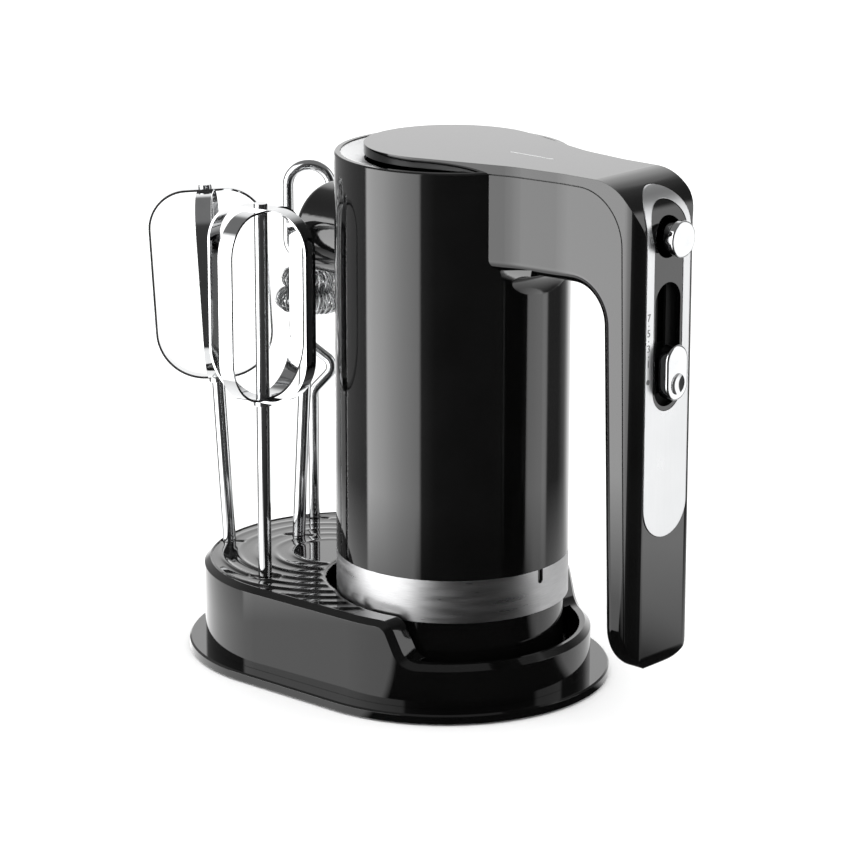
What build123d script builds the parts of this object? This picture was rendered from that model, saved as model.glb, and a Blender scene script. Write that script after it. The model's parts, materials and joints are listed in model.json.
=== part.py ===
from build123d import *
import math
import os

# Hand mixer standing upright in its storage stand, with two beaters, two dough hooks and a coil whisk.
# Frame: origin under the mixer body's axis, on the surface the stand rests on. +X points from the body
# to the handle, -X to the attachments, +Z up. All lengths are in millimetres.

# ---- driving dimensions: stand
PAD_THICKNESS = 1.4
PLATE_BOTTOM = 0.8
PLATE_TOP = 4.6
BODY_END_X, DECK_END_X = -4.3, -58.5          # centres of the stand's two round ends
FLANGE_R_BODY, FLANGE_R_DECK = 70.0, 71.0
WALL_R_BODY, WALL_R_DECK = 62.0, 64.0
RIM_TOP, LOW_RIM_TOP, DECK_TOP = 40.2, 22.9, 39.8
STEP_TOP_X, STEP_FOOT_X, STEP_ROUND = 15.9, 22.8, 7.5
RIM_BEVEL, RIM_WIDTH = 2.4, 2.9
WELL_R, CUP_R, CUP_TOP = 50.6, 54.0, 23.5
STAND_WALL = 2.5
RELIEF_X, RELIEF_R = -16.0, 43.0               # shallow finger relief on the attachments' side of the well
BOSS_R, STAND_SCREW_R, SCREW_HEAD_R = 4.0, 1.5, 3.0
BOSSES = [(-115.0, 0.0), (-80.0, 50.0), (-80.0, -50.0)]
REST_RING_R = (33.0, 40.0)

# ---- driving dimensions: mixer body
BODY_R, BODY_WALL = 49.0, 2.5
CAP_BOTTOM, BAND_BOTTOM, BODY_BOTTOM, BODY_TOP = 8.0, 38.0, 56.3, 226.2
CAP_R, BAND_THICKNESS = 47.0, 0.8
LID_R, LID_TOP, LID_BOTTOM = 36.8, 229.6, 225.6

# ---- driving dimensions: neck and handle
NECK_BOTTOM = 186.0
NECK_HALF, HANDLE_HALF = 22.3, 19.4
HANDLE_IN_TOP_X, HANDLE_IN_LOW_X = 94.4, 98.7
HANDLE_OUT_X, OUTER_CORNER_R = 113.4, 6.5
HANDLE_BOTTOM, HANDLE_END_R, HANDLE_TIP_R = 28.0, 19.4, 8.0
INNER_BEND_R, OUTER_BEND_R = 15.0, 22.0
SEAM_TOP_X, SEAM_LOW_X, SEAM_BEND_R = 105.2, 110.2, 22.0
SEAM_GAP, SEAM_DEPTH = 0.4, 0.6
ARM_WALL = 2.3

# ---- driving dimensions: control panel in the handle's outer face
PANEL_HALF, PANEL_BOTTOM, PANEL_TOP = 13.4, 84.6, 226.4
PANEL_PROUD, PANEL_DEPTH = 0.4, 1.0
INSERT_HALF, INSERT_BOTTOM, INSERT_TOP, INSERT_HEAD_R = 9.0, 136.6, 221.6, 10.8
SLOT_HALF, SLOT_BOTTOM, SLOT_TOP = 7.8, 138.5, 188.7
BUTTON_Z, BUTTON_R, BUTTON_HOLE_R, BUTTON_FACE_X = 207.0, 7.3, 8.4, 121.1
KNOB_HALF, KNOB_BOTTOM, KNOB_TOP = 6.5, 141.7, 164.2
KNOB_BACK_X, KNOB_FACE_X, DISH_R, DISH_DEPTH = 114.2, 119.2, 4.3, 1.1
BACKING_X, CARRIAGE_X, SWITCH_X = (109.2, 110.4), (105.2, 107.8), (99.7, 104.8)

# ---- driving dimensions: nose and drive train
NOSE_Z, NOSE_HALF_Z, NOSE_HALF_Y, NOSE_FRONT_X = 184.0, 19.5, 21.5, -72.0
SPINDLE_Y, SPINDLE_R, SPINDLE_REAR_R = 13.6, 5.0, 4.0
SOCKET_R, SOCKET_DEPTH = 3.0, 22.0
WHEEL_R, WHEEL_HALF, WHEEL_TEETH = 9.6, 4.0, 30
WORM_R, WORM_CORE_R = 3.6, 2.0
SHAFT_R, SHAFT_BOTTOM, SHAFT_STEP, SHAFT_TOP = 3.0, 64.0, 168.0, 201.0
RUNNING_GAP = 0.05
CAP_SCREW_R = 25.0
INLET_X, INLET_R, INLET_BORE_R = 104.4, 4.6, 3.2
GRIP_ROUND, TAPER_END_X = 5.0, 75.0
FAIRING_R, FAIRING_HALF, FAIRING_DROP = 15.0, 21.0, 12.5  # web under the neck, against the body

# ---- driving dimensions: attachments, with heights from ROD_ORIGIN; a direction's x and y are its lean
ROD_ORIGIN = 37.2
ROD_R, HOOK_ROD_R, HOLE_R = 2.85, 2.4, 3.2
ROD_BURIED = 30.0
LOOP_HALF, LOOP_HEIGHT, STRIP_HALF, STRIP_THICK = 25.4, 83.0, 3.4, 1.0
WING_ANGLE, WING_HALF, WING_REACH, WING_DEPTH = 35.0, 1.2, 6.4, 18.0
BEATERS = {                                     # hole, direction of the rod, loop angle, cage bottom
    "beater_1": ((-111.2, -22.5), (-0.070, -0.005, 1.0), 42.0, 76.6),
    "beater_2": ((-64.0, -48.0), (0.0, 0.0, 1.0), 8.0, 80.4),
}
WHISK = ((-95.0, 4.0), (-0.004, 0.073, 1.0))
WHISK_LOW, WHISK_TOP = 108.5, 119.0            # height of the spring's lower turn, top of the rod
HOOKS = {
    "dough_hook_1": ((-108.0, 27.5), (0.0, 0.0, 1.0), 42.0),
    "dough_hook_2": ((-64.0, 48.0), (0.0, 0.0, 1.0), 20.0),
}


def rounded(points, radii):
    """Closed outline through the points, with one rounding radius for each corner."""
    outline = make_face(Polyline(*points, close=True))
    for point, radius in zip(points, radii):
        if radius:
            corner = outline.vertices().sort_by_distance((point[0], point[1], 0))[0]
            outline = fillet(corner, radius)
    return outline


def mirrored(points):
    """The points, then the same points mirrored in Y in reverse order."""
    return points + [(x, -y) for x, y in reversed(points)]


def prism(sketch, low, high):
    return Pos(0, 0, low) * extrude(sketch, high - low)


def across(sketch, half_width=60.0):
    """An XZ side outline made solid, centred on the plane of symmetry."""
    return extrude(Plane.XZ * sketch, half_width, both=True)


def along_x(sketch, low, high):
    """A YZ front outline made solid between two X values."""
    return Pos(low, 0, 0) * extrude(Plane.YZ * sketch, high - low)


def x_cylinder(radius, low, high, y=0.0, z=0.0):
    return Pos((low + high) / 2, y, z) * Rot(0, 90, 0) * Cylinder(radius, high - low)


def z_cylinder(radius, low, high, x=0.0, y=0.0):
    return Pos(x, y, (low + high) / 2) * Cylinder(radius, high - low)


def z_ring(outer, inner, low, high):
    return z_cylinder(outer, low, high) - z_cylinder(inner, low - 1, high + 1)


def block(x, y, z):
    """A box from three (low, high) pairs."""
    size = [pair[1] - pair[0] for pair in (x, y, z)]
    centre = [(pair[1] + pair[0]) / 2 for pair in (x, y, z)]
    return Pos(*centre) * Box(*size)


def turned(points):
    """A solid of revolution about Z from (radius, height) points."""
    return revolve(Plane.XZ * make_face(Polyline(*points, close=True)), Axis.Z)


def round_the_axis(shape, count, start=0.0):
    """Copies of a shape turned evenly about Z."""
    return [Rot(0, 0, start + i * 360 / count) * shape for i in range(count)]


def sharp_edges(solid, least=20.0):
    """The edges where two faces of the solid meet at a real corner."""
    found = []
    for edge in solid.edges():
        middle = edge @ 0.5
        normals = [face.normal_at(middle) for face in solid.faces()
                   if any(edge.is_same(other) for other in face.edges())]
        if len(normals) == 2 and normals[0].get_angle(normals[1]) > least:
            found.append(edge)
    return found


def stadium(r_body, r_deck, inset=0.0):
    """The stand's plan: two circles and their outer tangents."""
    a, b = r_body - inset, r_deck - inset
    lean = math.asin((b - a) / (BODY_END_X - DECK_END_X))
    touch = [(c + r * math.sin(lean), r * math.cos(lean)) for c, r in ((BODY_END_X, a), (DECK_END_X, b))]
    bridge = make_face(Polyline(*mirrored(touch), close=True))
    return bridge + Pos(BODY_END_X, 0) * Circle(a) + Pos(DECK_END_X, 0) * Circle(b)


def stand_side(drop=0.0):
    """Side outline of the stand's wall: high round the attachments, low round the body's front."""
    points = [(-160, -20), (100, -20), (100, LOW_RIM_TOP - drop), (STEP_FOOT_X - drop, LOW_RIM_TOP - drop),
              (STEP_TOP_X - drop, RIM_TOP - drop), (-160, RIM_TOP - drop)]
    return across(rounded(points, [0, 0, 0, STEP_ROUND, STEP_ROUND, 0]), 100)


def rod_frame(hole, direction, turn=0.0):
    """Frame of an attachment: origin in its hole under the deck, Z along its rod, X at the turn angle."""
    z = Vector(*direction).normalized()
    aim = Vector(math.cos(math.radians(turn)), math.sin(math.radians(turn)), 0)
    return Plane(origin=(hole[0], hole[1], ROD_ORIGIN), x_dir=aim - z * aim.dot(z), z_dir=z)


def all_holes():
    beaters = [(hole, lean) for hole, lean, _, _ in BEATERS.values()]
    hooks = [(hole, lean) for hole, lean, _ in HOOKS.values()]
    return beaters + hooks + [WHISK]


# ---------------------------------------------------------------- stand
def base_shell():
    outer = prism(stadium(WALL_R_BODY, WALL_R_DECK), PLATE_TOP, RIM_TOP) & stand_side()
    rim = [e for e in sharp_edges(outer) if e.center().Z > PLATE_TOP + 1]
    outer = chamfer(rim, RIM_BEVEL)
    recess = prism(stadium(WALL_R_BODY, WALL_R_DECK, RIM_WIDTH), DECK_TOP, RIM_TOP + 5)
    well = z_cylinder(CUP_R, 0, CUP_TOP) + z_cylinder(WELL_R, 0, RIM_TOP + 5)
    relief = z_cylinder(RELIEF_R, CUP_TOP - 6, RIM_TOP + 5, RELIEF_X)
    hollow = prism(stadium(WALL_R_BODY, WALL_R_DECK, STAND_WALL), 0, DECK_TOP - STAND_WALL)
    hollow = hollow & stand_side(STAND_WALL)
    hollow -= z_cylinder(CUP_R + STAND_WALL, -5, CUP_TOP + STAND_WALL)
    hollow -= z_cylinder(WELL_R + STAND_WALL, -5, RIM_TOP + 5)
    hollow -= z_cylinder(RELIEF_R + STAND_WALL, -5, RIM_TOP, RELIEF_X)
    shell = outer - recess - well - relief - hollow
    for hole, direction in all_holes():
        frame = rod_frame(hole, direction, WING_ANGLE)
        tube = frame.location * z_cylinder(8.4, -ROD_BURIED - 2, 1.5)
        shell += tube & prism(stadium(WALL_R_BODY, WALL_R_DECK, STAND_WALL / 2), PLATE_TOP, DECK_TOP)
    for x, y in BOSSES:
        shell += z_cylinder(BOSS_R, PLATE_TOP, DECK_TOP - 0.5, x, y)
        shell -= z_cylinder(STAND_SCREW_R, 0, PLATE_TOP + 16, x, y)
    for hole, direction in all_holes():
        frame = rod_frame(hole, direction, WING_ANGLE)
        cut = z_cylinder(HOLE_R, -ROD_BURIED - 0.3, 6)
        cut += block((-WING_REACH, WING_REACH), (-WING_HALF, WING_HALF), (-WING_DEPTH, 6))
        shell -= frame.location * cut
    return shell


def base_plate():
    plate = prism(stadium(FLANGE_R_BODY, FLANGE_R_DECK), PLATE_BOTTOM, PLATE_TOP)
    plate = chamfer(plate.faces().sort_by(Axis.Z)[-1].outer_wire().edges(), 0.7)
    plate += z_ring(*REST_RING_R[::-1], PLATE_TOP - 0.5, CAP_BOTTOM)
    for x, y in BOSSES:
        plate -= z_cylinder(STAND_SCREW_R, 0, PLATE_TOP + 1, x, y)
        plate -= z_cylinder(SCREW_HEAD_R + 0.1, 0, PAD_THICKNESS + 1.2, x, y)
    return plate - prism(stadium(FLANGE_R_BODY, FLANGE_R_DECK, 7.0), PLATE_BOTTOM - 1, PAD_THICKNESS)


def stand_screws():
    """Screws that hold the plate up against the shell's bosses, hidden by the pad."""
    head_top = PAD_THICKNESS + 1.2
    screws = []
    for x, y in BOSSES:
        head = z_cylinder(SCREW_HEAD_R, head_top - 1.1, head_top, x, y)
        screws.append(head + z_cylinder(STAND_SCREW_R, head_top, PLATE_TOP + 14, x, y))
    return screws


def antislip_pad():
    return prism(stadium(FLANGE_R_BODY, FLANGE_R_DECK, 7.3), 0, PAD_THICKNESS)


# ---------------------------------------------------------------- neck, handle and lid outlines
def arm_side(grow=0.0):
    """Side outline of neck and handle, moved outward by grow."""
    g = grow
    points = [(-60, NECK_BOTTOM - g), (HANDLE_IN_TOP_X - g, NECK_BOTTOM - g),
              (HANDLE_IN_LOW_X - g, HANDLE_BOTTOM - g), (HANDLE_OUT_X + g, HANDLE_BOTTOM - g),
              (HANDLE_OUT_X + g, LID_TOP + g), (-60, LID_TOP + g)]
    return across(rounded(points, [0, INNER_BEND_R - g, 0, HANDLE_TIP_R + g, OUTER_BEND_R + g, 0]))


def arm_plan(grow=0.0):
    """Top outline: the round lid tapering into the neck, then the handle with its rounded outer corners."""
    g, spread = grow, math.radians(70)
    r, corner = LID_R + g, OUTER_CORNER_R + g
    side = [(r * math.cos(spread), r * math.sin(spread)), (52.0, NECK_HALF + g),
            (TAPER_END_X, HANDLE_HALF + g), (HANDLE_OUT_X + g, HANDLE_HALF + g)]
    taper = rounded(mirrored(side), [0, 40, 40, corner, corner, 40, 40, 0])
    return prism(taper + Circle(r), 0, 300)


def arm_front(grow=0.0):
    """Front outline: the handle's round lower end, open to the lid's width above."""
    centre_z = HANDLE_BOTTOM + HANDLE_END_R
    tongue = Pos(0, centre_z) * Circle(HANDLE_END_R + grow)
    return along_x(tongue + Pos(0, (centre_z + 400) / 2) * Rectangle(120, 400 - centre_z), -100, 160)


def arm(grow=0.0):
    return arm_side(grow) & arm_plan(grow) & arm_front(grow)


def above_seam(grow=0.0):
    """The region outside the seam between the handle shell and the top cover, grown towards the shell."""
    top, top_x, low_x = LID_BOTTOM - grow, SEAM_TOP_X - grow, SEAM_LOW_X - grow
    points = [(-90, top), (top_x, top), (low_x, 0), (160, 0), (160, 300), (-90, 300)]
    return across(rounded(points, [0, SEAM_BEND_R - grow, 0, 0, 0, 0]), 80)


def seam_groove():
    """The fine groove that shows where the two shells meet, half in each of them."""
    sheet = above_seam(SEAM_GAP / 2) - above_seam(-SEAM_GAP / 2)
    return sheet & (arm(1.0) - arm(-SEAM_DEPTH)) & block((30, 160), (-60, 60), (0, 300))


# ---------------------------------------------------------------- mixer housing
def neck_fairing():
    """The hollow-curved web that joins the underside of the neck to the body."""
    reach, foot = BODY_R + FAIRING_R, NECK_BOTTOM - FAIRING_R
    web = z_ring(reach, BODY_R - 2, foot, NECK_BOTTOM + 3) - Pos(0, 0, foot) * Torus(reach, FAIRING_R)
    return web & along_x(Pos(0, NECK_BOTTOM) * Ellipse(FAIRING_HALF, FAIRING_DROP), 20, 80)


def passage():
    """The hollow inside the neck and handle."""
    return arm(-ARM_WALL) & block((20, 160), (-60, 60), (0, 300))


def body_casing(solid_arm):
    tube = z_cylinder(BODY_R, BODY_BOTTOM, BODY_TOP)
    tube = chamfer(tube.faces().sort_by(Axis.Z)[-1].edges(), 0.6)
    tube -= z_cylinder(BODY_R - BODY_WALL, BODY_BOTTOM - 1, BODY_TOP + 1)
    return tube - passage() - (solid_arm & above_seam()) - nose_outline(ARM_WALL, -60, -30)


def handle_shell(solid_arm):
    shell = (solid_arm - above_seam()) & block((30, 160), (-60, 60), (0, LID_BOTTOM))
    grip = [e for e in sharp_edges(shell) if 31 < (e @ 0.5).X < 100 and (e @ 0.5).Z < NECK_BOTTOM + 4]
    shell = fillet(grip, GRIP_ROUND) + neck_fairing()
    shell -= z_cylinder(BODY_R, 0, 300)
    return shell - passage() - seam_groove() - z_cylinder(INLET_R, 20, 45, INLET_X)


def top_cover(solid_arm):
    cover = solid_arm & above_seam()
    cover -= arm(-ARM_WALL)
    cover -= panel_pocket(0.12)
    cover -= along_x(slot_outline(0.5), 100, 130)
    cover -= seam_groove()
    return cover - x_cylinder(BUTTON_HOLE_R + 0.3, 100, 130, 0, BUTTON_Z)


def trim_ring():
    ring = turned([(36.5, 221.4), (46.4, 223.6), (46.4, 225.7), (45.8, 225.7), (36.5, 223.2)])
    return ring - (arm_plan(0.4) & block((25, 80), (-60, 60), (150, 300)))


def steel_band():
    band = z_ring(BODY_R, BODY_R - BAND_THICKNESS, BAND_BOTTOM, BODY_BOTTOM)
    notch = block((40, 60), (-1.5, 1.5), (BODY_BOTTOM - 4.5, BODY_BOTTOM + 1))
    return band - notch - x_cylinder(1.5, 40, 60, 0, BODY_BOTTOM - 4.5)


def rear_cap():
    seat = BODY_R - BAND_THICKNESS - RUNNING_GAP
    outline = [(0, CAP_BOTTOM), (CAP_R - 5, CAP_BOTTOM), (CAP_R, CAP_BOTTOM + 5), (CAP_R, BAND_BOTTOM),
               (seat, BAND_BOTTOM), (seat, BODY_BOTTOM), (46.4, BODY_BOTTOM), (46.4, BODY_BOTTOM + 8),
               (44.6, BODY_BOTTOM + 8), (44.6, CAP_BOTTOM + 7), (40, CAP_BOTTOM + 2.4), (0, CAP_BOTTOM + 2.4)]
    cap = turned(outline)
    slot = block((15, 30), (-1.2, 1.2), (CAP_BOTTOM - 1, CAP_BOTTOM + 4))
    for vent in round_the_axis(slot, 15, 12.0):
        cap -= vent
    for hole in screw_places(CAP_BOTTOM - 1, CAP_BOTTOM + 5, 1.5):
        cap -= hole
    for head in screw_places(CAP_BOTTOM - 1, CAP_BOTTOM + 1.2, 3.2):
        cap -= head
    return cap


def screw_places(low, high, radius):
    """Three cylinders where the screws go up through the rear cap."""
    return round_the_axis(z_cylinder(radius, low, high, CAP_SCREW_R), 3, 36.0)


def housing_screws():
    heads = screw_places(CAP_BOTTOM + 0.2, CAP_BOTTOM + 1.2, 3.1)
    shanks = screw_places(CAP_BOTTOM + 1.2, CAP_BOTTOM + 16, 1.5)
    return [head + shank for head, shank in zip(heads, shanks)]


def cord_inlet():
    return z_cylinder(INLET_R, 28.8, 40, INLET_X) - z_cylinder(INLET_BORE_R, 20, 50, INLET_X)


# ---------------------------------------------------------------- control panel
def obround(half, low, high):
    """Upright slot outline in the YZ plane."""
    return Pos(0, (low + high) / 2) * Rectangle(2 * half, high - low - 2 * half) + Pos(
        0, low + half) * Circle(half) + Pos(0, high - half) * Circle(half)


def slot_outline(grow=0.0):
    return obround(SLOT_HALF + grow, SLOT_BOTTOM - grow, SLOT_TOP + grow)


def insert_outline(grow=0.0):
    head = Pos(0, INSERT_TOP - INSERT_HEAD_R) * Circle(INSERT_HEAD_R + grow)
    return obround(INSERT_HALF + grow, INSERT_BOTTOM - grow, INSERT_TOP - 4) + head


def outer_skin(low, high):
    """The layer between two distances from the handle's outer face."""
    return (arm(high) - arm(low)) & block((100, 140), (-60, 60), (60, 260))


def panel_pocket(gap):
    shape = obround(PANEL_HALF + gap, PANEL_BOTTOM - gap, PANEL_TOP + gap)
    return outer_skin(-PANEL_DEPTH - gap, 5.0) & along_x(shape, 60, 140)


def handle_panel():
    shape = obround(PANEL_HALF, PANEL_BOTTOM, PANEL_TOP) - insert_outline()
    return outer_skin(-PANEL_DEPTH, PANEL_PROUD) & along_x(shape, 60, 140)


def panel_insert():
    shape = insert_outline(-0.1) - slot_outline()
    plate = outer_skin(-PANEL_DEPTH, PANEL_PROUD - 0.2) & along_x(shape, 60, 140)
    return plate - x_cylinder(BUTTON_HOLE_R, 90, 140, 0, BUTTON_Z)


def slot_backing():
    plate = block(BACKING_X, (-10.5, 10.5), (SLOT_BOTTOM - 4, SLOT_TOP + 3.5))
    return plate - block((100, 120), (-2.6, 2.6), (SLOT_BOTTOM + 5, SLOT_TOP - 2))


def speed_knob():
    """The slide knob: an upright obround with a thumb dish in its lower half."""
    middle = (KNOB_BOTTOM + KNOB_TOP) / 2
    knob = along_x(obround(KNOB_HALF, KNOB_BOTTOM, KNOB_TOP), KNOB_BACK_X, KNOB_FACE_X)
    knob = fillet(knob.faces().sort_by(Axis.X)[-1].outer_wire().edges(), 0.9)
    ball = (DISH_R ** 2 + DISH_DEPTH ** 2) / (2 * DISH_DEPTH)
    knob -= Pos(KNOB_FACE_X - DISH_DEPTH + ball, 0, KNOB_BOTTOM + KNOB_HALF + 0.3) * Sphere(ball)
    return knob + along_x(obround(2.0, middle - 6, middle + 6), CARRIAGE_X[1], KNOB_BACK_X + 0.1)


def slider_carriage():
    middle = (KNOB_BOTTOM + KNOB_TOP) / 2
    return block(CARRIAGE_X, (-5, 5), (middle - 10, middle + 10))


def speed_switch():
    case = block(SWITCH_X, (-8, 8), (112, 190))
    pins = [block((SWITCH_X[0], SWITCH_X[0] + 3.6), (y - 0.6, y + 0.6), (106, 112)) for y in (-5, 0, 5)]
    return case + pins


def circuit_board():
    board = block((102.4, 104.0), (-12, 12), (56, 104))
    parts = block((104.0, 109.0), (-6, 2), (64, 78)) + z_cylinder(3.2, 84, 98, 107.2, 5)
    return board + parts


# ---------------------------------------------------------------- nose and drive train
def nose_outline(inset, low, high):
    return along_x(Pos(0, NOSE_Z) * Ellipse(NOSE_HALF_Y - inset, NOSE_HALF_Z - inset), low, high)


def nose_housing():
    nose = nose_outline(0, NOSE_FRONT_X, -30)
    nose = fillet(nose.faces().sort_by(Axis.X)[0].edges(), 4.0)
    nose -= nose_outline(ARM_WALL, NOSE_FRONT_X + 3.0, -20)
    nose -= z_cylinder(BODY_R, 0, 260)
    for y in (-SPINDLE_Y, SPINDLE_Y):
        nose -= x_cylinder(SPINDLE_R + 0.5, -80, -60, y, NOSE_Z)
    return nose


def spindle(side):
    y = side * SPINDLE_Y
    shaft = x_cylinder(SPINDLE_R, -70.5, -20, y, NOSE_Z) + x_cylinder(SPINDLE_REAR_R, -20, 13, y, NOSE_Z)
    shaft -= x_cylinder(SOCKET_R, -80, -70.5 + SOCKET_DEPTH, y, NOSE_Z)
    return shaft - x_cylinder(1.8, -60, 20, y, NOSE_Z)


def worm_wheel(side):
    y = side * SPINDLE_Y
    wheel = x_cylinder(WHEEL_R, -WHEEL_HALF, WHEEL_HALF)
    for i in range(WHEEL_TEETH):
        turn = math.radians(i * 360 / WHEEL_TEETH)
        wheel -= x_cylinder(0.65, -9, 9, WHEEL_R * math.cos(turn), WHEEL_R * math.sin(turn))
    wheel -= x_cylinder(SPINDLE_REAR_R, -9, 9)
    return Pos(0, y, NOSE_Z) * wheel


def gear_frame():
    frame = z_ring(38, 8, 158, 163)
    for low, high, bore in ((-30, -26, SPINDLE_R), (8, 11, SPINDLE_REAR_R)):
        wall = block((low, high), (-28, 28), (163, 198))
        for y in (-SPINDLE_Y, SPINDLE_Y):
            wall -= x_cylinder(bore + RUNNING_GAP, low - 5, high + 5, y, NOSE_Z)
        frame += wall
    return frame


def motor_bracket():
    bracket = z_ring(44.4, 8, 58, 62)
    for window in round_the_axis(z_cylinder(7, 50, 70, 18), 6):
        bracket -= window
    for leg in round_the_axis(z_cylinder(4.5, CAP_BOTTOM + 2.4, 58, CAP_SCREW_R), 3, 36.0):
        bracket += leg
    for post in round_the_axis(z_cylinder(3.0, 62, 158, 34.0), 4, 45.0):
        bracket += post
    for hole in screw_places(0, CAP_BOTTOM + 16, 1.5):
        bracket -= hole
    return bracket


def motor_stator():
    yoke = z_ring(30.5, 25, 92, 132)
    for turn in (0, 180):
        pole = z_ring(25.2, 17.6, 92, 132) & block((0, 40), (-12, 12), (80, 140))
        yoke += Rot(0, 0, turn) * pole
    return yoke


def field_windings():
    loop = z_ring(24.6, 18.6, 88, 136) & block((-13.5, 13.5), (0, 40), (80, 140))
    return [loop, Rot(0, 0, 180) * loop]


def armature_shaft():
    return z_cylinder(SHAFT_R, SHAFT_BOTTOM - 6, SHAFT_STEP) + z_cylinder(WORM_CORE_R, SHAFT_STEP, SHAFT_TOP)


def armature_core():
    core = z_ring(17.0, SHAFT_R, 93, 131)
    for slot in round_the_axis(block((12.5, 18), (-0.9, 0.9), (80, 140)), 12):
        core -= slot
    return core


def armature_winding():
    return [z_ring(14.5, SHAFT_R, 86, 93), z_ring(14.5, SHAFT_R, 131, 138)]


def commutator():
    drum = z_ring(9.0, SHAFT_R, 140, 153)
    for groove in round_the_axis(block((8.2, 10), (-0.3, 0.3), (130, 160)), 12):
        drum -= groove
    return drum


def cooling_fan():
    fan = z_ring(8, SHAFT_R, 66, 80) + z_ring(30, 8, 66, 68)
    for blade in round_the_axis(block((7.5, 29), (-0.8, 0.8), (68, 79)), 9):
        fan += blade
    return fan


def worm():
    body = z_ring(2.9, WORM_CORE_R, 170, 198)
    for i in range(9):
        body += z_ring(WORM_R, WORM_CORE_R, 171.0 + 3 * i, 172.6 + 3 * i)
    return body


def bearing(low, high):
    return z_ring(8.0, SHAFT_R + RUNNING_GAP, low, high)


def brush_holders():
    holders = []
    for turn in (90, 270):
        sleeve = block((11, 26), (-4, 4), (141, 158)) - block((10, 30), (-2.5, 2.5), (142.5, 150.5))
        holders.append(Rot(0, 0, turn) * sleeve)
    return holders


def carbon_brushes():
    brush = block((9.4, 22), (-2.4, 2.4), (142.6, 150.4))
    return [Rot(0, 0, turn) * brush for turn in (90, 270)]


# ---------------------------------------------------------------- ejector
def eject_button():
    stem = x_cylinder(BUTTON_R - 1.3, 106, BUTTON_FACE_X - 3.2, 0, BUTTON_Z)
    head = x_cylinder(BUTTON_R, BUTTON_FACE_X - 3.2, BUTTON_FACE_X, 0, BUTTON_Z)
    head = fillet(head.edges(), 0.7)
    return stem + head


def ejector_fork():
    rod = x_cylinder(2.0, 20, 106, 0, BUTTON_Z)
    yoke = block((20, 23), (-18, 18), (NOSE_Z - 4, BUTTON_Z + 3))
    pins = [x_cylinder(1.4, -47.5, 20.5, y, NOSE_Z) for y in (-SPINDLE_Y, SPINDLE_Y)]
    return rod + yoke + pins


def eject_spring():
    coil = Helix(pitch=1.9, height=9.5, radius=3.4)
    start = Plane(origin=coil @ 0, z_dir=coil % 0)
    spring = sweep(start * Circle(0.5), path=coil)
    return Pos(96, 0, BUTTON_Z) * Rot(0, 90, 0) * spring


# ---------------------------------------------------------------- attachments
def rod_with_fins(top, radius):
    """A straight rod from the bottom of its hole, with the drive fins near its lower end."""
    rod = z_cylinder(radius, -ROD_BURIED, top)
    rod = chamfer(rod.faces().sort_by(Axis.Z)[0].edges(), 0.8)
    return rod + block((-5.0, 5.0), (-0.6, 0.6), (-15, -7))


def strip_loop(half, low, high):
    """One bent strip: a tall rounded frame in the XZ plane."""
    points = [(-half, low), (half, low), (half, high), (-half, high)]
    inside = [(-half + STRIP_THICK, low + STRIP_THICK), (half - STRIP_THICK, low + STRIP_THICK),
              (half - STRIP_THICK, high - STRIP_THICK), (-half + STRIP_THICK, high - STRIP_THICK)]
    outer = rounded(points, [21, 21, 17, 17])
    hole = rounded(inside, [20, 20, 16, 16])
    return extrude(Plane.XZ * (outer - hole), STRIP_HALF, both=True)


def beater(name):
    hole, direction, loop_angle, cage_bottom = BEATERS[name]
    cage_top = cage_bottom + LOOP_HEIGHT
    turn = rod_frame(hole, direction, loop_angle).location
    shaft = rod_with_fins(cage_top - 2.0 * STRIP_THICK, ROD_R)
    shaft += z_cylinder(1.9, cage_top - 3, cage_top + 0.6)
    nub = z_cylinder(2.9, cage_top, cage_top + 1.6)
    collar = z_ring(4.0, ROD_R, cage_bottom - 1.8, cage_bottom)
    core = z_cylinder(ROD_R, cage_bottom - 2, cage_bottom + 5) + z_cylinder(1.9, cage_top - 5, cage_top + 1)
    outer = strip_loop(LOOP_HALF, cage_bottom, cage_top) - core
    inner = strip_loop(LOOP_HALF - 0.4, cage_bottom + STRIP_THICK, cage_top - STRIP_THICK)
    inner = Rot(0, 0, 90) * inner - core
    wing_turn = rod_frame(hole, direction, WING_ANGLE).location
    return {f"{name}_shaft": wing_turn * (shaft + nub + collar), f"{name}_outer_loop": turn * outer,
            f"{name}_inner_loop": turn * inner}


def torus(ring_r, tube_r, z):
    return Pos(0, 0, z) * Torus(ring_r, tube_r)


def whisk():
    frame = rod_frame(*WHISK, WING_ANGLE).location
    shaft = rod_with_fins(WHISK_TOP, ROD_R)
    spring = torus(9.4, 5.4, WHISK_LOW) + torus(7.6, 5.0, WHISK_LOW + 9.4)
    spring -= z_cylinder(ROD_R, -50, WHISK_TOP)
    return {"coil_whisk_shaft": frame * shaft, "coil_whisk_spring": frame * spring}


def dough_hook(name):
    """A rod bent into a rising zigzag that ends in a crook."""
    hole, direction, turn = HOOKS[name]
    points = [(0, 0, -ROD_BURIED), (0, 0, 62), (10.5, 1, 73), (-12.5, 7, 90), (11.0, 1, 108),
              (-10.5, 5, 126), (-10.5, 4, 163), (8.5, 2, 163), (8.5, 2, 152)]
    route = FilletPolyline(*points, radius=[7, 5, 6, 6, 7, 9.3, 9.3])
    wire = sweep(Plane(origin=points[0], z_dir=(0, 0, 1)) * Circle(HOOK_ROD_R), path=route)
    fins = Rot(0, 0, WING_ANGLE - turn) * block((-5.0, 5.0), (-0.6, 0.6), (-15, -7))
    return {name: rod_frame(hole, direction, turn).location * (wire + fins)}


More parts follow.
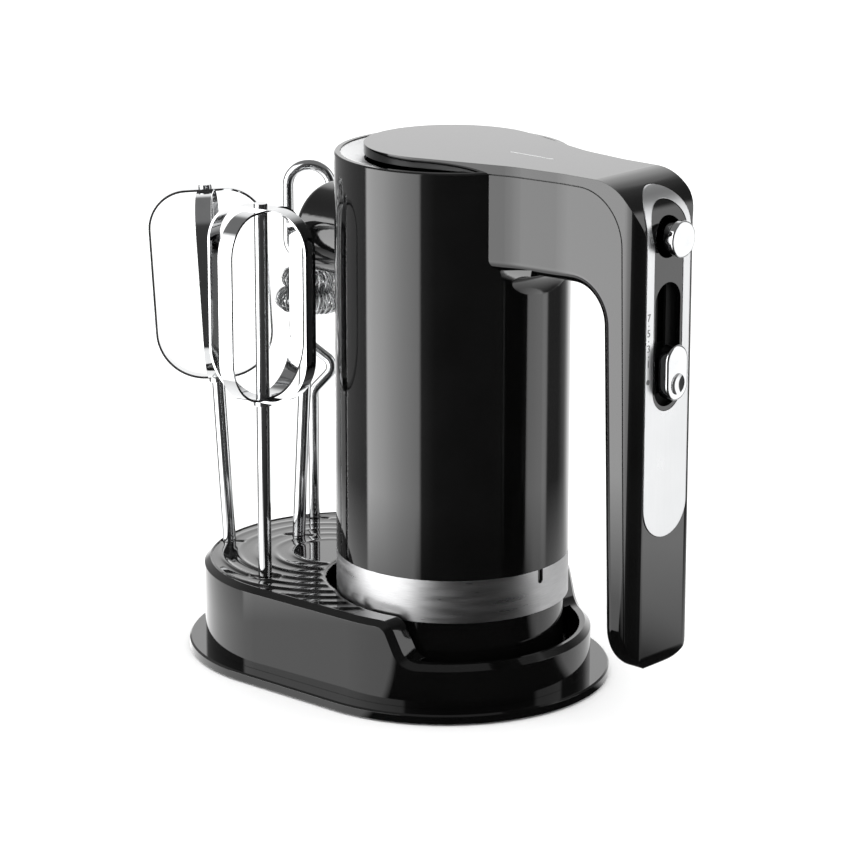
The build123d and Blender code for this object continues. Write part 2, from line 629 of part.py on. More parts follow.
# ---------------------------------------------------------------- assembly
def build():
    solid_arm = arm()
    parts = {
        "base_shell": base_shell(), "base_plate": base_plate(), "antislip_pad": antislip_pad(),
        "stand_screws": stand_screws(), "body_casing": body_casing(solid_arm),
        "handle_shell": handle_shell(solid_arm), "top_cover": top_cover(solid_arm), "trim_ring": trim_ring(),
        "steel_band": steel_band(), "rear_cap": rear_cap(), "housing_screws": housing_screws(),
        "cord_inlet": cord_inlet(), "handle_panel": handle_panel(), "panel_insert": panel_insert(),
        "slot_backing": slot_backing(), "speed_knob": speed_knob(), "slider_carriage": slider_carriage(),
        "speed_switch": speed_switch(), "circuit_board": circuit_board(), "nose_housing": nose_housing(),
        "spindle_left": spindle(-1), "spindle_right": spindle(1), "worm_wheel_left": worm_wheel(-1),
        "worm_wheel_right": worm_wheel(1), "gear_frame": gear_frame(), "motor_bracket": motor_bracket(),
        "motor_stator": motor_stator(), "field_windings": field_windings(),
        "armature_shaft": armature_shaft(), "armature_core": armature_core(),
        "armature_winding": armature_winding(), "commutator": commutator(), "cooling_fan": cooling_fan(),
        "worm": worm(), "lower_bearing": bearing(57, 63), "upper_bearing": bearing(157.5, 163.5),
        "brush_holders": brush_holders(), "carbon_brushes": carbon_brushes(),
        "eject_button": eject_button(), "ejector_fork": ejector_fork(), "eject_spring": eject_spring(),
    }
    for name in BEATERS:
        parts.update(beater(name))
    parts.update(whisk())
    for name in HOOKS:
        parts.update(dough_hook(name))
    return parts


os.makedirs("parts", exist_ok=True)
for node, shape in build().items():
    if isinstance(shape, list):
        shape = Compound(children=shape)
    shape.label = node
    export_step(shape, f"parts/{node}.step")
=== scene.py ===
import bpy
import json
import math
import random
from mathutils import Matrix, Vector, noise

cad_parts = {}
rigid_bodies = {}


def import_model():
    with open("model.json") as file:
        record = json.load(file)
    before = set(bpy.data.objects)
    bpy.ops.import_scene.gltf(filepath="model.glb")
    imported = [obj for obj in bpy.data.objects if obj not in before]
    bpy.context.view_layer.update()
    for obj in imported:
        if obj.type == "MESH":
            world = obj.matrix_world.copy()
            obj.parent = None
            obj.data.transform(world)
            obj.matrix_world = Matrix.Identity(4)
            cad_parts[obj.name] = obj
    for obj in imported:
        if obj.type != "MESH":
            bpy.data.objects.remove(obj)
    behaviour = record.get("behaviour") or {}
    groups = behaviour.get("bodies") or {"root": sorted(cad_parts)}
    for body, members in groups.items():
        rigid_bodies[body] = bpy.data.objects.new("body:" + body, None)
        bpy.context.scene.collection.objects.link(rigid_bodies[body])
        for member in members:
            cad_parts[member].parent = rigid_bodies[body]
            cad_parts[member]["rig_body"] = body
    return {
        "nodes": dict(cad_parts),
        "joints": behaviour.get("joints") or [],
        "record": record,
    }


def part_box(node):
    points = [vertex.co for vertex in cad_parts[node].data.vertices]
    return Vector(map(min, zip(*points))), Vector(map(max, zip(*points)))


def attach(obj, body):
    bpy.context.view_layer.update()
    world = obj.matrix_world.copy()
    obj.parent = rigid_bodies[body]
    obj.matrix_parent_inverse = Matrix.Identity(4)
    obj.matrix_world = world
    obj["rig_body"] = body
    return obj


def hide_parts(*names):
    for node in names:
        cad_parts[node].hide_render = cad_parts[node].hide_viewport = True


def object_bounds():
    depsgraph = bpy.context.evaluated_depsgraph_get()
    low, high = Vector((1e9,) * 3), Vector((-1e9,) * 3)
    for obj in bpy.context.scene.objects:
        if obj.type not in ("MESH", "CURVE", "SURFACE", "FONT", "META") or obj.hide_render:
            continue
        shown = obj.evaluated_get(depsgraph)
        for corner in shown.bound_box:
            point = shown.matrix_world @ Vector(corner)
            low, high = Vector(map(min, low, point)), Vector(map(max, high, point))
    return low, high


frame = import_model()
cad_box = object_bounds()

# Lengths are in metres unless a name says otherwise. The frame is the CAD model's: origin under the
# mixer's body on the worktop, +X from the body to the handle, +Z up.
MM = 0.001

# ---- camera
CAMERA_AZIMUTH, CAMERA_ELEVATION = 42.43, 15.7          # degrees
CAMERA_DISTANCE, CAMERA_LENS = 1.503, 152.12            # metres, millimetres on a 36 mm sensor
AIM_HEIGHT, AIM_SHIFT = 0.10907, -0.01159

# ---- the stand's deck, worked out from the frame
STAND_LOW, STAND_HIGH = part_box("base_shell")
RIM_DEPTH, RIM_WIDTH = 0.4 * MM, 2.9 * MM
DECK_Z = STAND_HIGH.z - RIM_DEPTH
DECK_END_R = STAND_HIGH.y
DECK_END_X = STAND_LOW.x + DECK_END_R
BODY_END_X, BODY_END_R = -4.3 * MM, 62.0 * MM
WELL_R, RELIEF_X, RELIEF_R = 50.6 * MM, -16.0 * MM, 43.0 * MM
RIPPLE_CENTRE, RIPPLE_START, RIPPLE_LENGTH = Vector((-0.067, -0.003)), 14.0 * MM, 7.6 * MM
RIPPLE_HEIGHT, RIPPLE_FAINT, RIPPLE_END_X = 0.9 * MM, 0.25 * MM, -2.0 * MM
DECK_CELL = 0.6 * MM
ROD_NODES = ("beater_1_shaft", "beater_2_shaft", "coil_whisk_shaft", "dough_hook_1", "dough_hook_2")
HOLE_R, WING_ANGLE, WING_REACH, WING_HALF = 3.2 * MM, math.radians(35.0), 6.4 * MM, 1.2 * MM

# ---- the whisk's wire: each ring's name, radius, coil radius and height in mm, then its turns and seed
WIRE_R = 0.42 * MM
WHISK_RINGS = (("lower", 9.4, 5.4, 6.1, 34, 3), ("lower_inner", 9.4, 3.6, 6.1, 26, 5),
               ("upper", 7.6, 5.0, 15.5, 28, 7), ("upper_inner", 7.6, 3.2, 15.5, 22, 11))

# ---- control panel
DIGITS = "7531"
DIGIT_TOP_Z, DIGIT_STEP, DIGIT_HEIGHT, DIGIT_Y = 0.1763, 6.23 * MM, 3.0 * MM, -12.0 * MM
OFF_DOT_Z, OFF_DOT_R, SMALL_DOT_R = 0.1504, 1.05 * MM, 0.28 * MM
INK_THICKNESS = 0.06 * MM
LINE_START_X, LINE_END_X, LINE_WIDTH, LINE_PROUD = 31.0 * MM, 54.0 * MM, 0.7 * MM, 0.02 * MM


# ---------------------------------------------------------------- node helpers
def add(tree, kind, **values):
    """A node of that kind; values are sockets by name with _ for a space, or the node's own settings."""
    node = tree.nodes.new(kind)
    for key, value in values.items():
        socket = key.replace("_", " ")
        if socket in node.inputs:
            node.inputs[socket].default_value = value
        else:
            setattr(node, key, value)
    return node


def join(tree, source, target, output=0, socket=0):
    tree.links.new(source.outputs[output], target.inputs[socket])
    return target


def ramp(tree, source, stops, output=0):
    """A colour ramp with (position, grey level) or (position, colour) stops."""
    node = add(tree, "ShaderNodeValToRGB")
    join(tree, source, node, output)
    elements = node.color_ramp.elements
    while len(elements) < len(stops):
        elements.new(0.5)
    for element, (position, level) in zip(elements, stops):
        element.position = position
        element.color = (*level, 1.0) if isinstance(level, tuple) else (level, level, level, 1.0)
    return node


def spread(tree, source, low, high, output=0, low_in=0.3, high_in=0.7):
    """Maps a noise value to a range."""
    node = add(tree, "ShaderNodeMapRange", From_Min=low_in, From_Max=high_in, To_Min=low, To_Max=high)
    return join(tree, source, node, output)


def object_coordinates(tree, scale=(1.0, 1.0, 1.0)):
    coordinates = add(tree, "ShaderNodeTexCoord")
    mapping = add(tree, "ShaderNodeMapping", Scale=scale)
    return join(tree, coordinates, mapping, "Object", "Vector")


def round_coordinates(tree, round_scale, up_scale):
    """Coordinates that run round the Z axis and up it, for marks brushed round a cylinder."""
    coordinates = add(tree, "ShaderNodeTexCoord")
    parts = join(tree, coordinates, add(tree, "ShaderNodeSeparateXYZ"), "Object")
    angle = add(tree, "ShaderNodeMath", operation="ARCTAN2")
    join(tree, parts, angle, "Y", 0)
    join(tree, parts, angle, "X", 1)
    combined = add(tree, "ShaderNodeCombineXYZ")
    join(tree, angle, combined, 0, "X")
    join(tree, parts, combined, "Z", "Y")
    mapping = add(tree, "ShaderNodeMapping", Scale=(round_scale, up_scale, 1.0))
    return join(tree, combined, mapping, 0, "Vector")


def noise_texture(tree, mapping, scale, detail=3.0, roughness=0.55):
    node = add(tree, "ShaderNodeTexNoise", Scale=scale, Detail=detail, Roughness=roughness)
    return join(tree, mapping, node, 0, "Vector")


def surface(name, metallic=0.0, **sockets):
    """A material with a Principled shader, whose whole-surface values are set on its sockets."""
    material = bpy.data.materials.new(name)
    material.use_nodes = True
    shader = material.node_tree.nodes["Principled BSDF"]
    shader.inputs["Metallic"].default_value = metallic
    for key, value in sockets.items():
        shader.inputs[key.replace("_", " ")].default_value = value
    return material, material.node_tree, shader


def colour_from(tree, shader, source, stops, output=0):
    """Drives the base colour from a texture through a ramp."""
    join(tree, ramp(tree, source, stops, output), shader, 0, "Base Color")


def roughness_from(tree, shader, source, low, high, *span):
    """Drives the roughness from a texture; span is its output and input range where they aren't the usual."""
    join(tree, spread(tree, source, low, high, *span), shader, 0, "Roughness")


def rounded_bump(tree, shader, height, strength, distance, edge=0.25 * MM):
    """A fine bump over edges that are very slightly rounded."""
    soft_edge = add(tree, "ShaderNodeBevel", samples=4, Radius=edge)
    bump = add(tree, "ShaderNodeBump", Strength=strength, Distance=distance)
    join(tree, height, bump, 0, "Height")
    join(tree, soft_edge, bump, 0, "Normal")
    join(tree, bump, shader, 0, "Normal")


# ---------------------------------------------------------------- materials
def gloss_black():
    material, tree, shader = surface("piano_black", IOR=1.5)
    place = object_coordinates(tree)
    broad = noise_texture(tree, place, 38.0)
    fine = noise_texture(tree, place, 620.0, 2.0)
    colour_from(tree, shader, broad, [(0.3, 0.0012), (0.7, 0.0026)])
    roughness_from(tree, shader, fine, 0.035, 0.075)
    rounded_bump(tree, shader, broad, 0.03, 0.4 * MM)
    return material


def matte_black():
    material, tree, shader = surface("moulded_black", IOR=1.48, Specular_IOR_Level=0.2)
    place = object_coordinates(tree)
    grain = noise_texture(tree, place, 2600.0, 2.0)
    colour_from(tree, shader, grain, [(0.3, 0.0015), (0.7, 0.003)])
    roughness_from(tree, shader, grain, 0.6, 0.78)
    rounded_bump(tree, shader, grain, 0.25, 0.05 * MM)
    return material


def rubber():
    material, tree, shader = surface("black_rubber", IOR=1.45)
    place = object_coordinates(tree)
    grain = noise_texture(tree, place, 1800.0, 4.0, 0.7)
    colour_from(tree, shader, grain, [(0.3, 0.010), (0.7, 0.022)])
    roughness_from(tree, shader, grain, 0.7, 0.88)
    rounded_bump(tree, shader, grain, 0.35, 0.08 * MM)
    return material


def chrome():
    material, tree, shader = surface("bright_chrome", metallic=1.0)
    place = object_coordinates(tree)
    broad = noise_texture(tree, place, 90.0)
    fine = noise_texture(tree, place, 900.0, 2.0)
    colour_from(tree, shader, broad, [(0.3, (0.44, 0.445, 0.45)), (0.7, (0.49, 0.495, 0.50))])
    roughness_from(tree, shader, fine, 0.035, 0.09)
    rounded_bump(tree, shader, broad, 0.03, 0.3 * MM, 0.2 * MM)
    return material


def brushed_band():
    material, tree, shader = surface("brushed_steel_band", metallic=1.0, Anisotropic=0.75)
    place = round_coordinates(tree, 7.0, 5200.0)
    lines = noise_texture(tree, place, 1.0, 4.0, 0.65)
    streaks = noise_texture(tree, round_coordinates(tree, 2.0, 420.0), 1.0, 2.0)
    colour_from(tree, shader, lines, [(0.25, (0.38, 0.38, 0.385)), (0.75, (0.54, 0.54, 0.545))])
    roughness_from(tree, shader, streaks, 0.27, 0.36)
    join(tree, add(tree, "ShaderNodeTangent", direction_type="RADIAL", axis="Z"), shader, 0, "Tangent")
    rounded_bump(tree, shader, lines, 0.18, 0.02 * MM)
    return material


def satin_panel():
    material, tree, shader = surface("satin_silver", metallic=1.0)
    grain = noise_texture(tree, object_coordinates(tree, (900.0, 5200.0, 70.0)), 1.0, 3.0)
    cloud = noise_texture(tree, object_coordinates(tree), 55.0)
    colour_from(tree, shader, grain, [(0.2, (0.50, 0.505, 0.51)), (0.8, (0.54, 0.545, 0.55))])
    roughness_from(tree, shader, cloud, 0.27, 0.30)
    rounded_bump(tree, shader, grain, 0.02, 0.01 * MM)
    return material


def satin_ring():
    material, tree, shader = surface("satin_trim_ring", metallic=1.0)
    grain = noise_texture(tree, round_coordinates(tree, 9.0, 2600.0), 1.0, 3.0)
    colour_from(tree, shader, grain, [(0.3, (0.80, 0.805, 0.81)), (0.7, (0.88, 0.885, 0.89))])
    roughness_from(tree, shader, grain, 0.42, 0.52)
    rounded_bump(tree, shader, grain, 0.08, 0.02 * MM)
    return material


def plain_steel():
    material, tree, shader = surface("ground_steel", metallic=1.0)
    marks = noise_texture(tree, object_coordinates(tree, (1400.0, 1400.0, 160.0)), 1.0, 3.0)
    colour_from(tree, shader, marks, [(0.3, (0.42, 0.42, 0.43)), (0.7, (0.60, 0.60, 0.61))])
    roughness_from(tree, shader, marks, 0.22, 0.42)
    rounded_bump(tree, shader, marks, 0.12, 0.03 * MM)
    return material


def copper():
    material, tree, shader = surface("enamelled_copper", metallic=1.0, Coat_Weight=0.5, Coat_Roughness=0.12)
    wire = add(tree, "ShaderNodeTexWave", wave_type="BANDS", bands_direction="Z", Scale=520.0, Distortion=1.2)
    join(tree, object_coordinates(tree), wire, 0, "Vector")
    # The colour is darker in the grooves between the turns: painted shade there; the bright crests are the
    # copper's own colour.
    colour_from(tree, shader, wire, [(0.1, (0.24, 0.07, 0.02)), (0.7, (0.78, 0.34, 0.14))])
    roughness_from(tree, shader, wire, 0.45, 0.25, 0, 0.0, 1.0)
    rounded_bump(tree, shader, wire, 0.6, 0.2 * MM)
    return material


def nylon():
    material, tree, shader = surface("white_nylon", IOR=1.53)
    cloud = noise_texture(tree, object_coordinates(tree), 240.0)
    colour_from(tree, shader, cloud, [(0.3, (0.66, 0.64, 0.56)), (0.7, (0.78, 0.76, 0.69))])
    roughness_from(tree, shader, cloud, 0.38, 0.5)
    rounded_bump(tree, shader, cloud, 0.1, 0.05 * MM)
    return material


def die_cast():
    material, tree, shader = surface("die_cast_aluminium", metallic=0.9)
    grain = noise_texture(tree, object_coordinates(tree), 1100.0, 5.0, 0.7)
    colour_from(tree, shader, grain, [(0.3, (0.40, 0.41, 0.42)), (0.7, (0.55, 0.56, 0.57))])
    roughness_from(tree, shader, grain, 0.48, 0.66)
    rounded_bump(tree, shader, grain, 0.3, 0.08 * MM)
    return material


def carbon():
    material, tree, shader = surface("pressed_carbon", IOR=1.6)
    grain = noise_texture(tree, object_coordinates(tree), 2400.0, 3.0)
    colour_from(tree, shader, grain, [(0.3, 0.012), (0.7, 0.035)])
    roughness_from(tree, shader, grain, 0.5, 0.7)
    rounded_bump(tree, shader, grain, 0.2, 0.05 * MM)
    return material


def board():
    material, tree, shader = surface("green_board", IOR=1.5, Coat_Weight=0.4, Coat_Roughness=0.2)
    tracks = add(tree, "ShaderNodeTexBrick", Scale=260.0, Mortar_Size=0.06)
    join(tree, object_coordinates(tree), tracks, 0, "Vector")
    cloud = noise_texture(tree, object_coordinates(tree), 300.0)
    colour_from(tree, shader, tracks, [(0.2, (0.008, 0.10, 0.045)), (0.8, (0.02, 0.17, 0.08))], "Fac")
    roughness_from(tree, shader, cloud, 0.35, 0.5)
    rounded_bump(tree, shader, cloud, 0.15, 0.05 * MM)
    return material


def printed_ink():
    material, tree, shader = surface("grey_ink", IOR=1.45)
    grain = noise_texture(tree, object_coordinates(tree), 3000.0, 2.0)
    colour_from(tree, shader, grain, [(0.3, 0.05), (0.7, 0.08)])
    roughness_from(tree, shader, grain, 0.45, 0.6)
    return material


def dress_frame():
    """Gives every CAD node the finish that the record names for it."""
    makers = (gloss_black, matte_black, rubber, chrome, brushed_band, satin_panel, plain_steel, copper,
              nylon, die_cast, carbon, board)
    finishes = {maker.__name__: maker() for maker in makers}
    for row in frame["record"]["subparts"]:
        mesh = frame["nodes"][row["node"]].data
        mesh.materials.clear()
        mesh.materials.append(finishes[row["material_slot"]])
    ring = frame["nodes"]["trim_ring"].data
    ring.materials.clear()
    ring.materials.append(satin_ring())
    return finishes


# ---------------------------------------------------------------- meshes
def new_piece(name, vertices, faces, material, smooth=True):
    mesh = bpy.data.meshes.new(name)
    mesh.from_pydata(vertices, [], faces)
    mesh.materials.append(material)
    mesh.polygons.foreach_set("use_smooth", [smooth] * len(mesh.polygons))
    mesh.update()
    piece = bpy.data.objects.new(name, mesh)
    bpy.context.scene.collection.objects.link(piece)
    return piece


def as_mesh(source, name, material):
    """Turns a curve or text object into a mesh piece of the same shape."""
    bpy.context.view_layer.update()
    evaluated = source.evaluated_get(bpy.context.evaluated_depsgraph_get())
    mesh = bpy.data.meshes.new_from_object(evaluated)
    mesh.transform(source.matrix_world)
    mesh.materials.clear()
    mesh.materials.append(material)
    bpy.data.objects.remove(source)
    piece = bpy.data.objects.new(name, mesh)
    bpy.context.scene.collection.objects.link(piece)
    return piece


def smooth_step(value):
    t = min(1.0, max(0.0, value))
    return t * t * (3 - 2 * t)


def rod_foot(node):
    """A point on the axis of an attachment's rod, from the vertices of its straight lower end."""
    mesh = frame["nodes"][node].data
    near = [v.co for v in mesh.vertices if v.co.z < DECK_Z - 26 * MM]
    return Vector([sum((co[i] for co in near), 0.0) / len(near) for i in (0, 1, 2)])


def hole_centres():
    """The deck's attachment holes: each rod's own axis, followed up to the deck's height."""
    leans = {j["child"]: Vector(j["axis"]) for j in frame["joints"] if j["name"].endswith("_pull")}
    centres = []
    for node in ROD_NODES:
        body = frame["nodes"][node]["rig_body"]
        foot = rod_foot(node)
        lean = leans[body]
        centres.append((foot + lean * ((DECK_Z - foot.z) / lean.z)).xy)
    return centres


def deck_room(point, holes):
    """Distance from a point on the deck to the nearest edge that the ripples stop at; negative beyond it."""
    body_end = Vector((BODY_END_X, 0.0))
    deck_end = Vector((DECK_END_X, 0.0))
    along = (point.x - deck_end.x) / (body_end.x - deck_end.x)
    nearest = deck_end.lerp(body_end, min(1.0, max(0.0, along)))
    outer_r = DECK_END_R + (BODY_END_R - DECK_END_R) * min(1.0, max(0.0, along)) - RIM_WIDTH
    room = outer_r - (point - nearest).length
    room = min(room, point.length - WELL_R, (point - Vector((RELIEF_X, 0.0))).length - RELIEF_R)
    for centre in holes:
        offset = point - centre
        room = min(room, offset.length - HOLE_R)
        wing = Matrix.Rotation(-WING_ANGLE, 2) @ offset
        outside = Vector((max(0.0, abs(wing.x) - WING_REACH), max(0.0, abs(wing.y) - WING_HALF)))
        room = min(room, outside.length if outside.length > 0 else abs(wing.y) - WING_HALF)
    return min(room, RIPPLE_END_X - point.x)


def ripple(point):
    """Height of the rings in the deck, like raked sand: deep beside the well, faint at the rim."""
    offset = point - RIPPLE_CENTRE
    radius = offset.length
    angle = math.atan2(offset.y, offset.x)
    wander = noise.noise(Vector((point.x * 45, point.y * 45, 3.0))) * 1.3 * MM
    phase = (radius + wander - RIPPLE_START) / RIPPLE_LENGTH
    crest = 0.5 - 0.5 * math.cos(2 * math.pi * (phase - 0.12 * math.sin(2 * math.pi * phase)))
    beside_well = smooth_step((math.cos(angle + math.radians(48)) + 0.25) / 0.9)
    height = RIPPLE_FAINT + (RIPPLE_HEIGHT - RIPPLE_FAINT) * beside_well
    return height * crest * smooth_step((radius - RIPPLE_START) / (5 * MM))


def deck_ripples(material):
    """The raked-sand relief on the deck, as a skin that dips under the deck at its edges."""
    holes = hole_centres()
    low_x, columns = STAND_LOW.x + 3 * MM, int((RIPPLE_END_X - STAND_LOW.x) / DECK_CELL)
    rows = int(2 * DECK_END_R / DECK_CELL)
    vertices, index = [], {}
    for i in range(columns):
        for j in range(rows):
            point = Vector((low_x + i * DECK_CELL, -DECK_END_R + j * DECK_CELL))
            room = deck_room(point, holes)
            if room < -2.2 * DECK_CELL:
                continue
            rise = 0.05 * MM + ripple(point) * smooth_step(room / (1.6 * MM))
            dip = 0.5 * MM * smooth_step((0.35 * MM - room) / (0.9 * MM))
            index[i, j] = len(vertices)
            vertices.append((point.x, point.y, DECK_Z + rise - dip))
    faces = []
    for i, j in index:
        corners = [(i, j), (i + 1, j), (i + 1, j + 1), (i, j + 1)]
        if all(c in index for c in corners):
            faces.append([index[c] for c in corners])
    piece = new_piece("deck_ripples", vertices, faces, material)
    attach(piece, "stand")
    return piece


def wire(name, points, radius, material, closed=True):
    """A round wire through the points, as a mesh."""
    curve = bpy.data.curves.new(name, "CURVE")
    curve.dimensions = "3D"
    curve.bevel_depth = radius
    curve.bevel_resolution = 2
    spline = curve.splines.new("POLY")
    spline.points.add(len(points) - 1)
    for target, point in zip(spline.points, points):
        target.co = (*point, 1.0)
    spline.use_cyclic_u = closed
    source = bpy.data.objects.new(name + "_curve", curve)
    bpy.context.scene.collection.objects.link(source)
    piece = as_mesh(source, name, material)
    piece.data.polygons.foreach_set("use_smooth", [True] * len(piece.data.polygons))
    return piece


def coil_ring(place, ring_r, coil_r, height, turns, seed):
    """Points of a springy wire wound round a ring, every turn a little different."""
    draw = random.Random(seed)
    steps = 18
    sizes = [draw.uniform(0.90, 1.0) for _ in range(turns)]
    points = []
    for i in range(turns * steps):
        turn, part = divmod(i, steps)
        size = coil_r * (sizes[turn] + (sizes[(turn + 1) % turns] - sizes[turn]) * part / steps)
        round_ring = 2 * math.pi * i / (turns * steps) + 0.05 * math.sin(5 * i / steps)
        round_wire = 2 * math.pi * part / steps
        reach = ring_r + size * math.cos(round_wire)
        points.append(place @ Vector((reach * math.cos(round_ring), reach * math.sin(round_ring),
                                      height + size * math.sin(round_wire))))
    return points


def coil_whisk(material):
    """The whisk's two rings of wound wire, in the place of the plain rings of the CAD model."""
    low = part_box("coil_whisk_spring")[0]
    lean = next(Vector(j["axis"]) for j in frame["joints"] if j["child"] == "coil_whisk")
    foot = rod_foot("coil_whisk_shaft")
    turn = lean.to_track_quat("Z", "Y").to_matrix().to_4x4()
    place = Matrix.Translation(foot + lean * ((low.z - foot.z) / lean.z)) @ turn
    rings = []
    for name, ring_r, coil_r, height, turns, seed in WHISK_RINGS:
        points = coil_ring(place, ring_r * MM, coil_r * MM - WIRE_R, height * MM, turns, seed)
        ring = wire("coil_whisk_wire_" + name, points, WIRE_R, material)
        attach(ring, "coil_whisk")
        rings.append(ring)
    for ring in rings:
        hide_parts("coil_whisk_spring")
    return rings


# ---------------------------------------------------------------- printed marks
def panel_place(y, z):
    """A frame just proud of the panel's face: X to the reader's right, Y up, Z out of the panel."""
    panel = frame["nodes"]["handle_panel"]
    _, face, _, _ = panel.ray_cast(Vector((0.2, y, z)), Vector((-1.0, 0.0, 0.0)))
    axes = Matrix(((0, 0, 1, 0), (1, 0, 0, 0), (0, 1, 0, 0), (0, 0, 0, 1)))
    return Matrix.Translation(face + Vector((INK_THICKNESS * 0.7, 0.0, 0.0))) @ axes


def digit(character, z, material):
    text = bpy.data.curves.new("digit_" + character, "FONT")
    text.body = character
    text.size = DIGIT_HEIGHT / 0.7
    text.align_x, text.align_y = "CENTER", "CENTER"
    text.extrude = INK_THICKNESS / 2
    source = bpy.data.objects.new("digit_source", text)
    source.matrix_world = panel_place(DIGIT_Y, z)
    bpy.context.scene.collection.objects.link(source)
    return as_mesh(source, "digit_" + character, material)


def dot(name, z, radius, material):
    sides = 32
    place = panel_place(DIGIT_Y, z)
    ring = [(radius * math.cos(2 * math.pi * i / sides), radius * math.sin(2 * math.pi * i / sides))
            for i in range(sides)]
    vertices = [place @ Vector((x, y, h)) for h in (-INK_THICKNESS / 2, INK_THICKNESS / 2) for x, y in ring]
    faces = [list(range(sides))[::-1], list(range(sides, 2 * sides))]
    faces += [[i, (i + 1) % sides, sides + (i + 1) % sides, sides + i] for i in range(sides)]
    return new_piece(name, vertices, faces, material, smooth=False)


def speed_scale(material):
    """The plain numerals of the speed slide, with a small dot between them and the off dot below."""
    marks = []
    for i, character in enumerate(DIGITS):
        z = DIGIT_TOP_Z - i * DIGIT_STEP
        marks.append(digit(character, z, material))
        if i < len(DIGITS) - 1:
            marks.append(dot(f"small_dot_{i + 1}", z - DIGIT_STEP / 2, SMALL_DOT_R, material))
    marks.append(dot("off_dot", OFF_DOT_Z, OFF_DOT_R, material))
    for mark in marks:
        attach(mark, "mixer")


def lid_line(material):
    """The fine line let into the lid, pointing along the neck."""
    half = LINE_WIDTH / 2
    low, high = cad_box[1].z - 0.05 * MM, cad_box[1].z + LINE_PROUD
    corners = [(LINE_START_X, -half), (LINE_END_X, -half), (LINE_END_X, half), (LINE_START_X, half)]
    vertices = [(x, y, z) for z in (low, high) for x, y in corners]
    faces = [[3, 2, 1, 0], [4, 5, 6, 7]] + [[i, (i + 1) % 4, 4 + (i + 1) % 4, 4 + i] for i in range(4)]
    line = new_piece("lid_line", vertices, faces, material, smooth=False)
    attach(line, "mixer")


# ---------------------------------------------------------------- camera, floor and light
def camera_axes():
    a, e = math.radians(CAMERA_AZIMUTH), math.radians(CAMERA_ELEVATION)
    back = Vector((math.sin(a) * math.cos(e), -math.cos(a) * math.cos(e), math.sin(e)))
    right = Vector((math.cos(a), math.sin(a), 0.0))
    return right, back


def make_camera():
    right, back = camera_axes()
    data = bpy.data.cameras.new("camera")
    data.lens, data.sensor_width = CAMERA_LENS, 36.0
    data.clip_start, data.clip_end = 0.05, 60.0
    camera = bpy.data.objects.new("camera", data)
    camera.location = Vector((0, 0, AIM_HEIGHT)) + right * AIM_SHIFT + back * CAMERA_DISTANCE
    camera.rotation_mode = "QUATERNION"
    camera.rotation_quaternion = (-back).to_track_quat("-Z", "Y")
    bpy.context.scene.collection.objects.link(camera)
    bpy.context.scene.camera = camera


# Brightness of the studio that glossy surfaces see, by direction in degrees round from the camera's side.
STUDIO = [(-180, 1.5), (-166, 1.5), (-158, 0.5), (-94, 0.45), (-92, 6.6), (-72, 6.0), (-50, 4.2), (-33, 3.2),
          (-31.5, 0.3), (-18, 0.10), (0, 0.07), (38, 0.07), (74, 0.12), (78, 2.2), (103, 2.2), (106, 0.2),
          (126, 0.12), (140, 0.4), (154, 1.5), (180, 1.5)]
BRIGHTEST = 8.0
OVERHEAD = 0.3


def bands_round(tree, source, output, bands):
    """A brightness by the angle of a direction or place round the object, from (degrees, level) pairs."""
    right, back = camera_axes()
    across = add(tree, "ShaderNodeVectorMath", operation="DOT_PRODUCT")
    across.inputs[1].default_value = right
    forward = add(tree, "ShaderNodeVectorMath", operation="DOT_PRODUCT")
    forward.inputs[1].default_value = Vector((back.x, back.y, 0.0)).normalized()
    for dot_node in (across, forward):
        join(tree, source, dot_node, output, 0)
    angle = add(tree, "ShaderNodeMath", operation="ARCTAN2")
    join(tree, across, angle, "Value", 0)
    join(tree, forward, angle, "Value", 1)
    turn = add(tree, "ShaderNodeMapRange", From_Min=-math.pi, From_Max=math.pi)
    join(tree, angle, turn)
    return ramp(tree, turn, [((degrees + 180) / 360, level / BRIGHTEST) for degrees, level in bands])


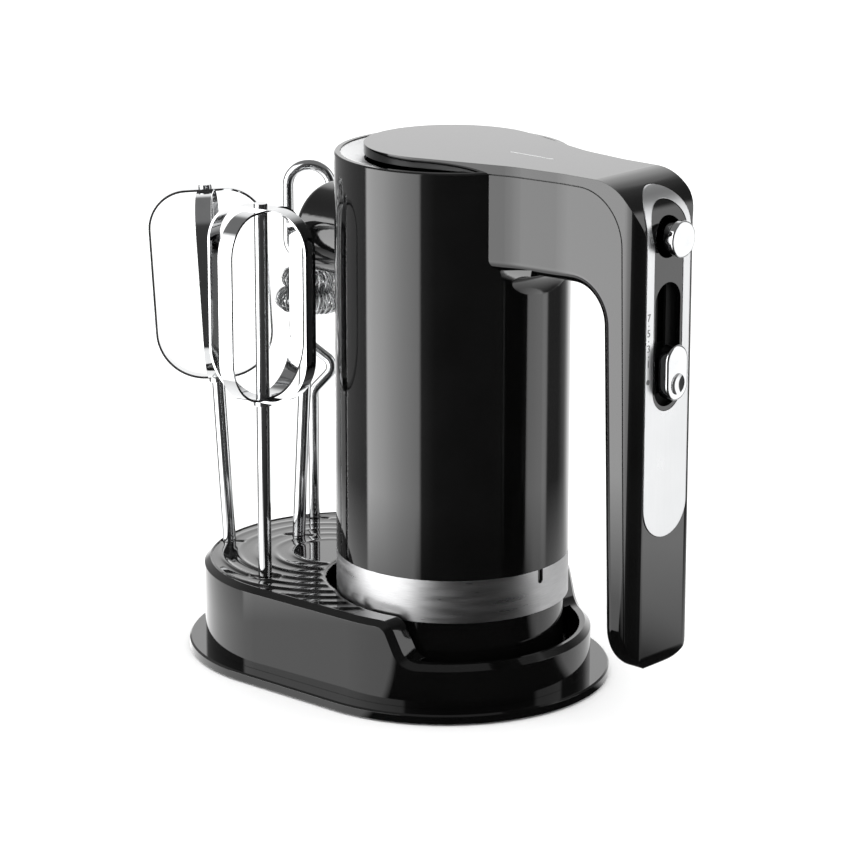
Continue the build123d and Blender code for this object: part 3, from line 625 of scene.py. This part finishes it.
def studio_world():
    world = bpy.data.worlds.new("studio")
    world.use_nodes = True
    bpy.context.scene.world = world
    tree = world.node_tree
    tree.nodes.clear()
    direction = add(tree, "ShaderNodeTexCoord")
    bands = bands_round(tree, direction, "Generated", STUDIO)
    up = join(tree, direction, add(tree, "ShaderNodeSeparateXYZ"), "Generated")
    overhead = add(tree, "ShaderNodeMapRange", From_Min=0.5, From_Max=0.75, interpolation_type="SMOOTHSTEP")
    join(tree, up, overhead, "Z")
    mixed = add(tree, "ShaderNodeMix", data_type="RGBA")
    join(tree, overhead, mixed, 0, "Factor")
    tree.links.new(bands.outputs[0], mixed.inputs[6])
    mixed.inputs[7].default_value = (OVERHEAD / BRIGHTEST,) * 3 + (1.0,)
    studio = add(tree, "ShaderNodeBackground", Strength=BRIGHTEST)
    tree.links.new(mixed.outputs[2], studio.inputs["Color"])
    plain = add(tree, "ShaderNodeBackground", Color=(1.0, 1.0, 1.0, 1.0), Strength=1.5)
    chosen = add(tree, "ShaderNodeMixShader")
    join(tree, add(tree, "ShaderNodeLightPath"), chosen, "Is Glossy Ray", 0)
    join(tree, plain, chosen, 0, 1)
    join(tree, studio, chosen, 0, 2)
    join(tree, chosen, add(tree, "ShaderNodeOutputWorld"))


FLOOR_HALF = 12.0
NEAR_R, FAR_R = 0.16, 0.34
# Brightness of the floor close to the object that glossy surfaces see, by direction as above.
FLOOR_GLOW = [(-180, 1.8), (-35, 1.8), (-31, 0.02), (70, 0.02), (78, 1.0), (140, 1.0), (160, 1.8), (180, 1.8)]


def make_floor():
    """A wide pale floor. Far out, reflections pass through it to the studio; close in they see its glow."""
    h = FLOOR_HALF
    material = bpy.data.materials.new("pale_floor")
    material.use_nodes = True
    tree = material.node_tree
    tree.nodes.clear()
    place = object_coordinates(tree)
    cloud = noise_texture(tree, place, 3.0)
    paint = add(tree, "ShaderNodeBsdfDiffuse")
    join(tree, ramp(tree, cloud, [(0.3, 0.965), (0.7, 0.98)]), paint, 0, "Color")
    distance = add(tree, "ShaderNodeVectorMath", operation="LENGTH")
    join(tree, place, distance)
    far_out = add(tree, "ShaderNodeMapRange", From_Min=NEAR_R, From_Max=FAR_R)
    join(tree, distance, far_out, "Value")
    bands = bands_round(tree, place, 0, FLOOR_GLOW)
    glow = join(tree, bands, add(tree, "ShaderNodeEmission", Strength=BRIGHTEST))
    through = join(tree, far_out, add(tree, "ShaderNodeMixShader"), 0, 0)
    join(tree, glow, through, 0, 1)
    join(tree, add(tree, "ShaderNodeBsdfTransparent"), through, 0, 2)
    chosen = add(tree, "ShaderNodeMixShader")
    join(tree, add(tree, "ShaderNodeLightPath"), chosen, "Is Glossy Ray", 0)
    join(tree, paint, chosen, 0, 1)
    join(tree, through, chosen, 0, 2)
    join(tree, chosen, add(tree, "ShaderNodeOutputMaterial"))
    floor = new_piece("floor", [(-h, -h, -0.0001), (h, -h, -0.0001), (h, h, -0.0001), (-h, h, -0.0001)],
                      [[0, 1, 2, 3]], material)


bpy.context.scene.view_settings.view_transform = "Standard"
make_camera()
studio_world()
make_floor()
finishes = dress_frame()
deck_ripples(finishes["gloss_black"])
coil_whisk(finishes["chrome"])
speed_scale(printed_ink())
lid_line(finishes["satin_panel"])
